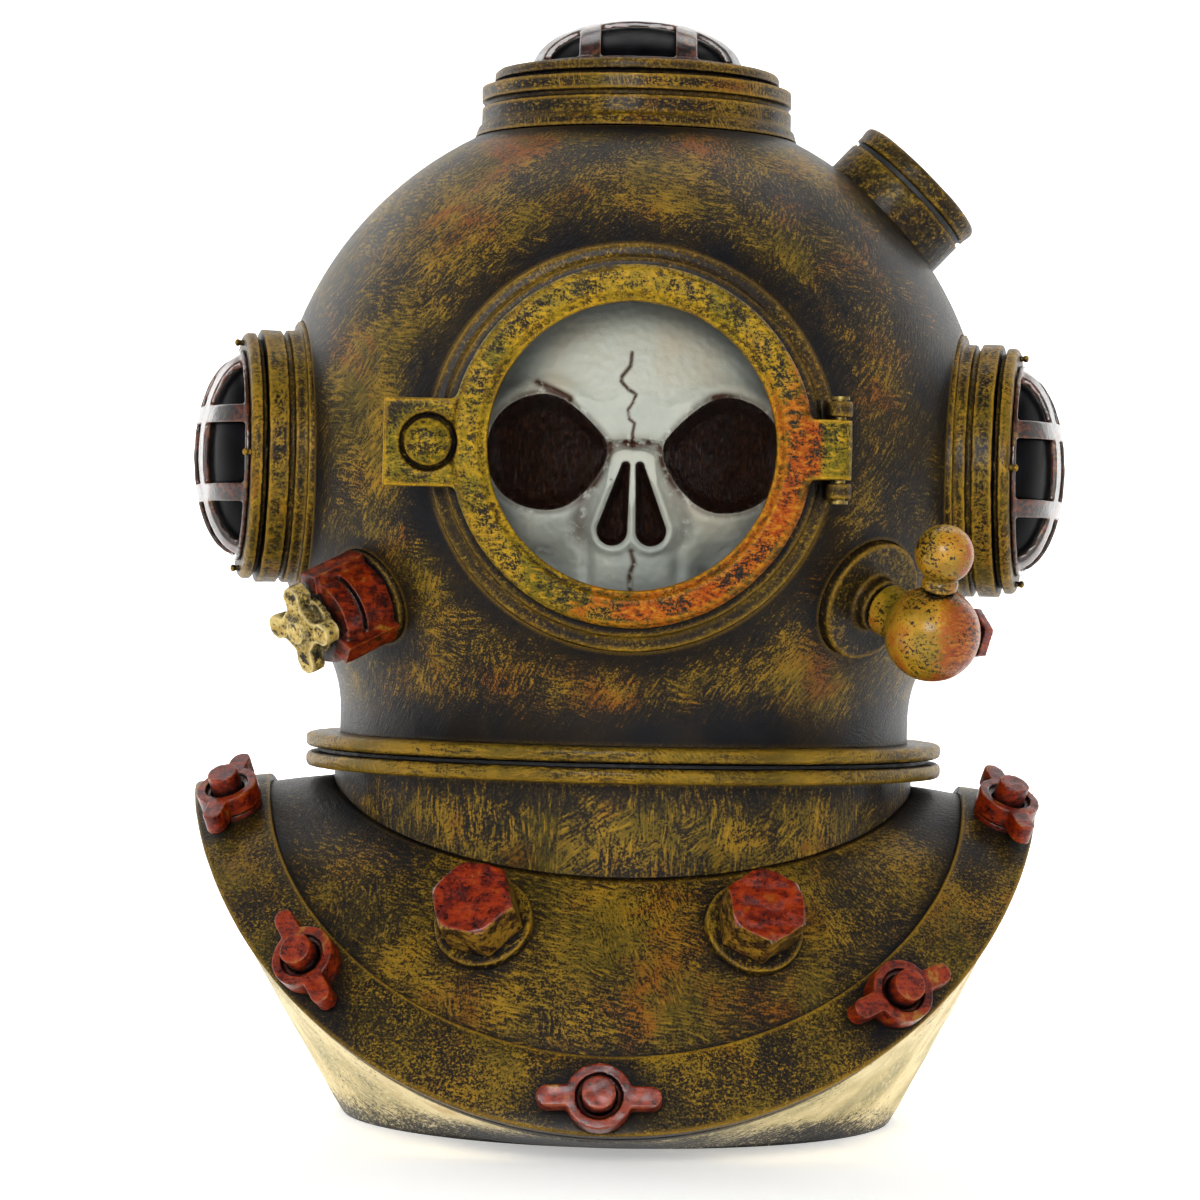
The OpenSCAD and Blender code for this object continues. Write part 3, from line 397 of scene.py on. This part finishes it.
def piece(name, mesh, mat, body):
    """Puts a smooth-shaded mesh in the scene as a piece of that body and slot."""
    ob = bpy.data.objects.new(name, mesh)
    bpy.context.scene.collection.objects.link(ob)
    mesh.materials.clear()
    mesh.materials.append(mat)
    mesh.polygons.foreach_set("use_smooth", [True] * len(mesh.polygons))
    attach(ob, body)
    return ob


def coords(mesh):
    co = np.zeros(len(mesh.vertices) * 3)
    mesh.vertices.foreach_get("co", co)
    return co.reshape(-1, 3)


def normals(mesh):
    n = np.zeros(len(mesh.vertices) * 3)
    mesh.vertices.foreach_get("normal", n)
    return n.reshape(-1, 3)


def lumps(mesh, depth, size, seed=0.0):
    """Sinks the surface by up to depth, in soft hand-made lumps of about that size."""
    co, n = coords(mesh), normals(mesh)
    shift = Vector((seed, seed * 2, -seed))
    dip = np.array([0.5 + 0.5 * noise.noise(Vector(p) / size + shift) for p in co])
    co -= n * (np.clip(dip, 0, 1) * depth)[:, None]
    mesh.vertices.foreach_set("co", co.ravel())
    mesh.update()


def cast(node, mat, voxel=0.4, smooth=4, depth=0.1, size=2.5, seed=0.0):
    """The CAD node as cast resin: the same shape with softened edges and a hand-finished surface."""
    work = bpy.data.objects.new("work", NODES[node].data.copy())
    bpy.context.scene.collection.objects.link(work)
    grid = work.modifiers.new("grid", "REMESH")
    grid.mode, grid.voxel_size = "VOXEL", voxel * MM
    soft = work.modifiers.new("soft", "SMOOTH")
    soft.iterations, soft.factor = smooth, 0.5
    mesh = bpy.data.meshes.new_from_object(work.evaluated_get(bpy.context.evaluated_depsgraph_get()))
    old = work.data
    bpy.data.objects.remove(work)
    bpy.data.meshes.remove(old)
    lumps(mesh, depth * MM, size * MM, seed)
    ob = piece(node + "_cast", mesh, mat, BODY[node])
    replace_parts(ob, node)
    return ob


def grid_mesh(name, points, closed_rows=True):
    """A mesh from rows of points; the rows' ends join, and so do the first and last rows."""
    rows, cols = points.shape[:2]
    faces = []
    for i in range(rows if closed_rows else rows - 1):
        for j in range(cols):
            a, b = i * cols, (i + 1) % rows * cols
            k = (j + 1) % cols
            faces.append((a + j, b + j, b + k, a + k))
    if not closed_rows:
        faces.append(tuple(range(cols)))
        faces.append(tuple((rows - 1) * cols + j for j in range(cols - 1, -1, -1)))
    mesh = bpy.data.meshes.new(name)
    mesh.from_pydata([tuple(p) for p in points.reshape(-1, 3)], [], faces)
    mesh.update()
    fix = bmesh.new()
    fix.from_mesh(mesh)
    bmesh.ops.recalc_face_normals(fix, faces=fix.faces)
    fix.to_mesh(mesh)
    fix.free()
    return mesh


# ---- Breastplate: the CAD's surface, finer and with rounded edges (mm) --------------

COLLAR_R, EDGE_X, EDGE_Y, EDGE_LEAN = 50.4, 72.8, 70.0, 1.3
COLLAR_SIDE, COLLAR_FRONT, EDGE_SIDE, EDGE_FRONT = 58.2, 44.5, 54.3, 4.4
BOW, RIDGE, PLATE_T, FOOT_R, SWELL = 0.4, 0.27, 2.5, 48.0, 0.02
BRAIL_W, BRAIL_T, BRAIL_INNER_T, BRAIL_LIFT = 13.3, 2.0, 1.2, 0.15
TURNS = np.linspace(0, 2 * math.pi, 360, endpoint=False)


def fall(t):
    """How far the plate has dropped at turn t: 0 over the shoulders and 1 at the front and back."""
    return (np.sqrt(np.sin(t) ** 2 + RIDGE ** 2) - RIDGE) / (math.sqrt(1 + RIDGE ** 2) - RIDGE)


def plate(rho, t):
    """A point of the upper face; rho runs from the collar, 0, to the edge, 1."""
    top = COLLAR_SIDE + (COLLAR_FRONT - COLLAR_SIDE) * fall(t)
    low = EDGE_SIDE + (EDGE_FRONT - EDGE_SIDE) * fall(t)
    return np.stack([
        (COLLAR_R + (EDGE_X - COLLAR_R) * rho) * np.cos(t) - EDGE_LEAN * rho,
        (COLLAR_R + (EDGE_Y - COLLAR_R) * rho) * np.sin(t),
        top + (low - top) * ((1 - BOW) * rho + BOW * rho * rho),
    ], -1)


def raised(rho, t, h):
    """The point at height h over the upper face, square to it."""
    rho, t, h = np.broadcast_arrays(np.asarray(rho, float), np.asarray(t, float), np.asarray(h, float))
    degree = math.radians(1)
    n = np.cross(plate(rho + 0.01, t) - plate(rho - 0.01, t), plate(rho, t + degree) - plate(rho, t - degree))
    n /= np.linalg.norm(n, axis=-1, keepdims=True)
    return plate(rho, t) + n * h[..., None]


def brail_start(t):
    """rho at the brail's inner edge, BRAIL_W in from the rim."""
    outer_fifth = plate(np.ones_like(t), t) - plate(np.full_like(t, 0.8), t)
    return 1 - BRAIL_W * 0.2 / np.linalg.norm(outer_fifth, axis=-1)


def round_corner(corner, before, after, radius, steps=4):
    """Points that round a profile's corner; every point is (distance across, height)."""
    c, a, b = (np.array(p, float) for p in (corner, before, after))
    start = c + (a - c) / np.linalg.norm(a - c) * radius
    end = c + (b - c) / np.linalg.norm(b - c) * radius
    return [start * (1 - k) ** 2 + c * 2 * k * (1 - k) + end * k ** 2 for k in np.linspace(0, 1, steps)]


def make_plate():
    across = np.linspace(0, 1, 26)
    rows = []
    for t in TURNS:
        outer = plate(across, np.full_like(across, t))
        inner = raised(across[1:], t, -PLATE_T)[::-1]
        foot = plate(0.0, t) - np.array([0, 0, PLATE_T * 1.4])
        rows.append(np.concatenate([outer, inner, foot[None]]))
    mesh = grid_mesh("corselet", np.array(rows) * MM)
    lumps(mesh, 0.12 * MM, 6 * MM)
    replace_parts(piece("breastplate_shell", mesh, GOLDS["plate"], BODY["corselet"]),
                "corselet")


def make_brail(node, start_turn):
    turns = np.radians(np.linspace(start_turn + 0.25, start_turn + 179.75, 200))
    rows = []
    for i, t in enumerate(turns):
        begin = float(brail_start(np.array(t)))
        per = 1 / max(1e-6, float(np.linalg.norm(plate(1.0, t) - plate(0.9, t))) * 10)
        wave = 0.12 * noise.noise(Vector((i * 0.09, start_turn, 0)))
        low, inner, outer = BRAIL_LIFT, BRAIL_LIFT + BRAIL_INNER_T, BRAIL_LIFT + BRAIL_T - 0.05 + wave * 0.5
        a, b = begin / per, 1 / per
        ring = [np.array((a, low)), np.array((b, low))]
        ring += round_corner((b, outer), (b, low), (a, inner), 0.55)
        ring += [np.array((b + (a - b) * k, outer + (inner - outer) * k)) for k in (0.2, 0.4, 0.6, 0.8)]
        ring += round_corner((a, inner), (b, outer), (a, low), 0.45)
        ring = np.array(ring)
        rows.append(raised(ring[:, 0] * per, t, ring[:, 1]))
    mesh = grid_mesh(node, np.array(rows) * MM, closed_rows=False)
    lumps(mesh, 0.1 * MM, 4 * MM, seed=start_turn * 0.01)
    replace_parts(piece(node + "_band", mesh, GOLDS["brail"], BODY[node]), node)


def make_base():
    rows = []
    for t in TURNS:
        round_foot = np.array([FOOT_R * math.cos(t), FOOT_R * math.sin(t), 0.0])
        inner_foot = round_foot * (FOOT_R - 3) / FOOT_R
        top = raised(1.0, t, -PLATE_T - 0.4)
        inner = raised(0.88, t, -PLATE_T - 0.4)
        wall = []
        for k in np.linspace(0, 1, 16):
            p = round_foot * (1 - k) + top * k
            p[:2] *= 1 + SWELL * math.sin(math.pi * k)
            wall.append(p)
        wall[0] = round_foot * (1 - 0.4 / FOOT_R)
        wall.insert(1, round_foot * (1 - 0.1 / FOOT_R) + np.array([0, 0, 0.4]))
        back = [inner * (1 - k) + inner_foot * k for k in np.linspace(0, 1, 8)]
        rows.append(np.array(wall + back))
    mesh = grid_mesh("base_shell", np.array(rows) * MM)
    co = coords(mesh)
    side = co[:, 2] > 0.6 * MM
    n = normals(mesh)
    dip = np.array([0.5 + 0.5 * noise.noise(Vector(p) / 0.007) for p in co])
    co[side] -= (n * dip[:, None] * 0.25 * MM)[side]
    mesh.vertices.foreach_set("co", co.ravel())
    mesh.update()
    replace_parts(piece("base_wall", mesh, GOLDS["base"], BODY["base_shell"]),
                "base_shell")


# ---- Skull (mm) ------------------------------------------------------------------------

def smooth_min(a, b, k):
    h = np.clip(0.5 + 0.5 * (b - a) / k, 0, 1)
    return b + (a - b) * h - k * h * (1 - h)


def smooth_max(a, b, k):
    return -smooth_min(-a, -b, k)


def fade(value, low, high):
    k = np.clip((value - low) / (high - low), 0, 1)
    return k * k * (3 - 2 * k)


def near_line(x, z, points):
    """Distance from (x, z) to a broken line."""
    best = np.full_like(x, 1e9)
    for (ax, az), (bx, bz) in zip(points, points[1:]):
        dx, dz = bx - ax, bz - az
        k = np.clip(((x - ax) * dx + (z - az) * dz) / (dx * dx + dz * dz), 0, 1)
        best = np.minimum(best, np.hypot(x - ax - k * dx, z - az - k * dz))
    return best


def blob(x, z, cx, cz, rx, rz):
    return np.exp(-((x - cx) / rx) ** 2 - ((z - cz) / rz) ** 2)


def socket_edge(x, z, side):
    """Signed distance, roughly, from the edge of an eye socket: negative inside."""
    u, v = (x - 0.6) * side - 14.0, z - 113.5
    oval = (np.power(np.abs(u / 10.3) ** 2.2 + np.abs(v / 9.5) ** 2.2, 1 / 2.2) - 1) * 9.5
    cut = -(u * 0.68) + v * 0.73 - 8.3
    low = -(u * 0.8) - v * 0.6 - 9.4
    return smooth_max(smooth_max(oval, cut, 2.6), low, 4)


def nose_edge(x, z):
    """Signed distance from the edge of the two slanting halves of the nose."""
    (ax, az, ar), (bx, bz, br) = (3.15, 101.0, 2.55), (1.15, 111.4, 0.75)
    dx, dz = bx - ax, bz - az
    best = np.full_like(x, 1e9)
    for side in (-1, 1):
        u = (x - 0.25) * side
        k = np.clip(((u - ax) * dx + (z - az) * dz) / (dx ** 2 + dz ** 2), 0, 1)
        best = np.minimum(best, np.hypot(u - ax - k * dx, z - az - k * dz) - (ar + (br - ar) * k))
    return best


CRACK = [(-0.2, 129.9), (-0.4, 127.7), (-1.8, 125.9), (-1.9, 125.1), (-0.7, 123.8), (0.6, 123.0),
         (0.1, 121.7), (-0.7, 120.5), (-0.5, 119.0), (0.4, 118.3), (0.1, 116.7), (0.2, 114.9)]
LIP_CRACK = [(0.3, 97.6), (0.8, 95.6), (0.1, 93.8), (0.3, 91.0)]
BROW_SCAR = [(-15.5, 124.8), (-13.0, 123.7), (-10.2, 122.2)]


def skull_face(x, z):
    """Height of the face towards the viewer (-Y), with how much pit and brown wash lies there."""
    head = 9.5 + np.sqrt(45 ** 2 - x ** 2 - (z - 118) ** 2)
    jaw = 11.5 + np.sqrt(40 ** 2 - x ** 2 - (z - 103) ** 2)
    h = smooth_max(head, jaw, 3)
    sockets = np.minimum(socket_edge(x, z, -1), socket_edge(x, z, 1))
    nose = nose_edge(x, z)
    upper = fade(z, 112, 119)
    h = h + 1.1 * np.exp(-((sockets - 1.3) / 1.7) ** 2) * upper
    h = h + 0.5 * np.exp(-((sockets - 1.0) / 1.2) ** 2) * (1 - upper)
    h = h + 0.9 * blob(x, z, 0.3, 118.5, 5, 4)
    h = h - 1.5 * blob(x, z, 0.3, 114.6, 4.6, 1.1)
    h = h + 1.6 * blob(x, z, 0.2, 110, 2.6, 7)
    h = h + 1.7 * (blob(x, z, -15.5, 101.5, 6, 3.6) + blob(x, z, 16, 101.5, 6, 3.6))
    h = h - 3.2 * (blob(x, z, -12.5, 94.5, 3.6, 4.6) + blob(x, z, 13.2, 94.8, 3.8, 4.8))
    h = h - 1.2 * (blob(x, z, -6.9, 95.5, 1.0, 3.4) + blob(x, z, 8.0, 95.2, 1.1, 3.2))
    h = h + 1.3 * blob(x, z, 0.2, 95.5, 6.5, 5)
    valley = np.exp(-((nose - 3.2) / 1.3) ** 2) * fade(z, 96, 101)
    h = h - 1.1 * valley
    h = h + 0.95 * np.exp(-((nose - 0.75) / 0.7) ** 2)
    pit = np.maximum(fade(-sockets, -0.25, 0.35), fade(-nose, -0.2, 0.25))
    h = h - 4.5 * fade(-sockets, -0.3, 2.4) - 4.0 * fade(-sockets, 0.5, 9.0)
    h = h - 4.6 * fade(-nose, -0.25, 1.3)
    crack = near_line(x, z, CRACK)
    lip = near_line(x, z, LIP_CRACK)
    scar = near_line(x, z, BROW_SCAR)
    dots = np.minimum(np.hypot(x + 0.9, z - 115.2), np.hypot(x - 2.8, z - 115.3))
    dots = np.minimum(dots, np.hypot(x + 3.3, z - 109.0))
    h = h - 0.45 * np.exp(-(crack / 0.24) ** 2) - 0.35 * np.exp(-(lip / 0.3) ** 2)
    h = h - 0.3 * np.exp(-(scar / 0.5) ** 2) - 0.5 * np.exp(-(dots / 0.22) ** 2)
    wash = 1.3 * np.exp(-(crack / 0.26) ** 2) + 1.1 * np.exp(-(lip / 0.4) ** 2)
    wash = wash + 1.0 * np.exp(-(scar / 0.6) ** 2) + 1.4 * np.exp(-(dots / 0.3) ** 2)
    wash = wash + 0.8 * blob(x, z, 14.5, 122.8, 2.4, 0.8) + 0.55 * np.exp(-((sockets - 0.3) / 0.5) ** 2)
    wash = wash + 0.5 * valley + 0.6 * blob(x, z, 0.3, 114.8, 3.2, 0.6)
    wash = wash + 0.55 * (blob(x, z, -14.5, 97.6, 2.2, 0.9) + blob(x, z, 12.0, 94.5, 1.8, 1.2))
    wash = wash + 0.3 * (blob(x, z, -7.5, 101.5, 2.5, 3) + blob(x, z, -18, 124, 3, 3))
    return h, pit, wash


def make_skull():
    low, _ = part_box("skull")
    rim, bore, wall, deepest = 26.1, 24.05, 46.7, 33
    rings = np.concatenate([np.linspace(0.12, bore, 108), np.linspace(bore + 0.06, rim, 8)])
    turns = np.linspace(0, 2 * math.pi, 480, endpoint=False)
    r, t = np.meshgrid(rings, turns, indexing="ij")
    x, z = r * np.cos(t), PORT_Z / MM + r * np.sin(t)
    h, pit, wash = skull_face(x, z)
    rough = [noise.noise(Vector((a, b, 0)) * 0.9) for a, b in zip(x.ravel(), z.ravel())]
    rough = np.array(rough).reshape(x.shape)
    h = h + rough * (0.1 + 0.25 * pit)
    h = np.where(r > bore, np.minimum(h, wall), h)
    h = np.minimum(h, -low.y / MM)
    h = np.maximum(h, deepest)
    face = np.stack([x, -h, z], -1)
    sides = [np.stack([x[-1], np.full_like(x[-1], -depth), z[-1]], -1) for depth in (31.5, 30.3)]
    back_x, back_z = x[-1] * 0.97, PORT_Z / MM + r[-1] * 0.97 * np.sin(t[-1])
    sides.append(np.stack([back_x, np.full_like(back_x, -30.0), back_z], -1))
    points = np.concatenate([face, np.array(sides)])
    mesh = grid_mesh("skull", points * MM, closed_rows=False)
    count = len(mesh.vertices)
    for title, values in (("pit", pit), ("wash", wash)):
        full = np.zeros(count)
        full[:values.size] = np.clip(values, 0, 1.5).ravel()
        mesh.attributes.new(title, "FLOAT", "POINT").data.foreach_set("value", full)
    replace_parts(piece("skull_sculpt", mesh, BONE, BODY["skull"]), "skull")


# ---- Small studs on the side ports -----------------------------------------------------

def lathe(bm, profile, place, steps=20, lid=True):
    """Adds a turned piece to bm; profile is (radius, height) pairs from the foot to the tip."""
    rings = [[bm.verts.new(place @ Vector((r * math.cos(a), r * math.sin(a), h)))
              for a in (2 * math.pi * i / steps for i in range(steps))] for r, h in profile]
    for low, high in zip(rings, rings[1:]):
        for i in range(steps):
            bm.faces.new((low[i], low[(i + 1) % steps], high[(i + 1) % steps], high[i]))
    bm.faces.new(rings[0][::-1])
    if lid:
        bm.faces.new(rings[-1])


STUD_RING_R, STUD_FOOT = 0.0194, 0.0679  # from the port's axis, and along it from the helmet's


def make_port_studs(name, turn):
    port = Matrix.Translation((0, 0, SIDE_PORT_Z)) @ Matrix.Rotation(math.radians(turn), 4, "Z")
    port = port @ Matrix.Rotation(math.pi / 2, 4, "Y")
    bm = bmesh.new()
    shape = [(0.55, -0.4), (0.5, 0.25), (0.42, 0.5), (0.55, 0.75), (0.62, 1.0), (0.55, 1.25),
             (0.35, 1.42), (0.08, 1.48)]
    for quarter in range(4):
        spot = Matrix.Rotation(quarter * math.pi / 2, 4, "Z")
        spot = spot @ Matrix.Translation((STUD_RING_R, 0, STUD_FOOT))
        lathe(bm, [(a * MM, h * MM) for a, h in shape], port @ spot)
    mesh = bpy.data.meshes.new(name)
    bm.to_mesh(mesh)
    bm.free()
    piece(name, mesh, GOLDS["port"], "bonnet")


# ---- Building ------------------------------------------------------------------------------

KEPT = {
    "bonnet": GOLDS["bonnet"], "neck_collar": GOLDS["collar"], "base_plate": GOLDS["dull"],
    "neck_gasket": RUBBER, "cap_seal_ring": RUBBER, "air_inlet": NIPPLE, "air_tube": TUBE, "air_stone": STONE,
    "hinge_pin": STEEL, "left_port_lens": DOME, "right_port_lens": DOME, "top_port_lens": DOME,
}
for title, mat in KEPT.items():
    data = NODES[title].data
    data.materials.clear()
    data.materials.append(mat)

make_plate()
make_brail("front_brail", -180)
make_brail("rear_brail", 0)
make_base()
make_skull()
make_port_studs("left_port_studs", 190)
make_port_studs("right_port_studs", -10)

for title in ("lower_neck_ring", "bonnet_neck_ring"):
    cast(title, GOLDS["ring"], 0.6, 3, 0.12, 5)
cast("front_port_housing", GOLDS["housing"], 0.45, 3, 0.12, 4)
cast("front_port_door", GOLDS["door"], 0.4, 3, 0.14, 3)
cast("door_catch", GOLDS["door"], 0.25, 4, 0.16, 1.5)
for side in ("left", "right"):
    cast(side + "_port_base", GOLDS["port"], 0.24, 2, 0.16, 3)
    cast(side + "_port_bezel", GOLDS["port"], 0.24, 2, 0.16, 3)
    cast(side + "_port_guard", GUARD, 0.26, 2, 0.08, 2)
cast("top_port_base", GOLDS["crown"], 0.26, 2, 0.16, 4)
cast("top_port_bezel", GOLDS["crown"], 0.26, 2, 0.16, 4)
cast("top_port_guard", GUARD, 0.28, 2, 0.08, 2, 0.4)
cast("cap_boss", GOLDS["cap"], 0.4, 3, 0.12, 3)
cast("blank_cap", GOLDS["cap"], 0.4, 3, 0.12, 3)
cast("exhaust_seat", GOLDS["housing"], 0.35, 3, 0.1, 3)
cast("exhaust_barrel", red_paint("red_barrel", None, 0.45, 0.2, "#3f0d05", "#802505", 0.3), 0.2, 2, 0.2, 2)
cast("exhaust_star_knob", GOLDS["star"], 0.2, 5, 0.3, 1.6)
cast("cock_flange", GOLDS["housing"], 0.4, 3, 0.12, 3)
cast("cock_ball", GOLDS["cock"], 0.35, 3, 0.12, 3)
cast("cock_handle", GOLDS["cock"], 0.28, 3, 0.12, 2)
cast("cock_hex_plug", red_paint("red_plug", None, 0.5, 0.6), 0.25, 3, 0.15, 1.5)
cast("bolt_flanges", GOLDS["port"], 0.35, 3, 0.15, 2.5)
UP_FRONT = (0.0, -0.72, 0.69)
cast("hex_bolt_left", red_paint("red_hex_left", UP_FRONT, 0.6, 0.33), 0.3, 3, 0.2, 2)
cast("hex_bolt_right", red_paint("red_hex_right", UP_FRONT, 0.6, 0.71), 0.3, 4, 0.55, 1.8)
cast("brail_studs", red_paint("red_studs", None, 0.3, 0.9), 0.22, 3, 0.12, 1.5)
NUT_PAINT = red_paint("red_nuts", None, 0.45, 0.12)
for where in ("front", "front_left", "front_right", "shoulder_left", "shoulder_right",
              "rear", "rear_right", "rear_left"):
    cast("wing_nut_" + where, NUT_PAINT, 0.22, 3, 0.16, 1.8, seed=len(where) * 0.37)


# ---- Stage ---------------------------------------------------------------------------------

def make_stage():
    """A round paper floor that curves up into a wall all round, lit brightest behind the object."""
    reach, curve, top, steps = 2.3, 0.6, 2.4, 12
    line = [(0.4, 0.0), (reach - curve, 0.0)]
    line += [(reach - curve + curve * math.sin(a), curve - curve * math.cos(a))
             for a in (math.pi / 2 * i / steps for i in range(1, steps + 1))]
    line.append((reach, top))
    bm = bmesh.new()
    lathe(bm, line, Matrix(), 96, lid=False)
    mesh = bpy.data.meshes.new("floor")
    bm.to_mesh(mesh)
    bm.free()
    mesh.polygons.foreach_set("use_smooth", [True] * len(mesh.polygons))
    floor = bpy.data.objects.new("floor", mesh)
    bpy.context.scene.collection.objects.link(floor)
    s = Shader("floor_paper")
    cloud = s.noise(s.place, 3, 2)
    depth = s.add("ShaderNodeSeparateXYZ")
    s.feed(depth.inputs[0], s.place)
    behind, height = depth.outputs[1], depth.outputs[2]
    glow = s.step(behind, -0.3, 0.3, 0.08, 0.98)
    wall = s.math("MAXIMUM", s.step(height, 0.02, 0.3, 1.0, 0.0), s.step(behind, 0.9, 1.9, 0.06, 1.0))
    glow = s.math("MAXIMUM", s.math("MULTIPLY", glow, wall), 0.08)
    paper = s.mix(cloud, "#f4f4f3", "#fafaf9")
    floor.data.materials.append(s.set(Base_Color=paper, Roughness=0.85, Emission_Color=paper,
                                      Emission_Strength=glow))


def lamp(name, spot, target, size, power, colour=(1, 1, 1)):
    data = bpy.data.lights.new(name, "AREA")
    data.shape, data.size, data.size_y = "RECTANGLE", *size
    data.energy, data.color = power, colour
    ob = bpy.data.objects.new(name, data)
    bpy.context.scene.collection.objects.link(ob)
    ob.location = spot
    ob.rotation_euler = (Vector(target) - Vector(spot)).to_track_quat("-Z", "Y").to_euler()


make_stage()
CENTRE = (0, 0, 0.1)
lamp("key", (-0.15, -1.0, 0.38), CENTRE, (0.45, 0.35), 5.6)
lamp("fill", (0.4, -0.9, 0.15), CENTRE, (0.4, 0.4), 0.5)
lamp("overhead", (0, 0.45, 1.3), (0, 0.35, 0), (1.6, 0.6), 7)
lamp("left_edge", (-0.6, 0.5, 0.3), CENTRE, (0.3, 0.7), 1.2)
lamp("right_edge", (0.6, 0.5, 0.3), CENTRE, (0.3, 0.7), 0.7)

bpy.context.scene.view_settings.view_transform = "Standard"
world = bpy.data.worlds.new("studio")
bpy.context.scene.world = world
world.use_nodes = True
world.node_tree.nodes["Background"].inputs[0].default_value = (0.93, 0.95, 1, 1)
world.node_tree.nodes["Background"].inputs[1].default_value = 0.03

camera_data = bpy.data.cameras.new("camera")
camera_data.lens, camera_data.sensor_width = 124.3, 36
camera_data.clip_start = 0.01
camera = bpy.data.objects.new("camera", camera_data)
bpy.context.scene.collection.objects.link(camera)
camera.location = (-0.0046, -0.725, 0.0896)
camera.rotation_euler = (math.pi / 2, math.radians(-1.2), 0)
bpy.context.scene.camera = camera
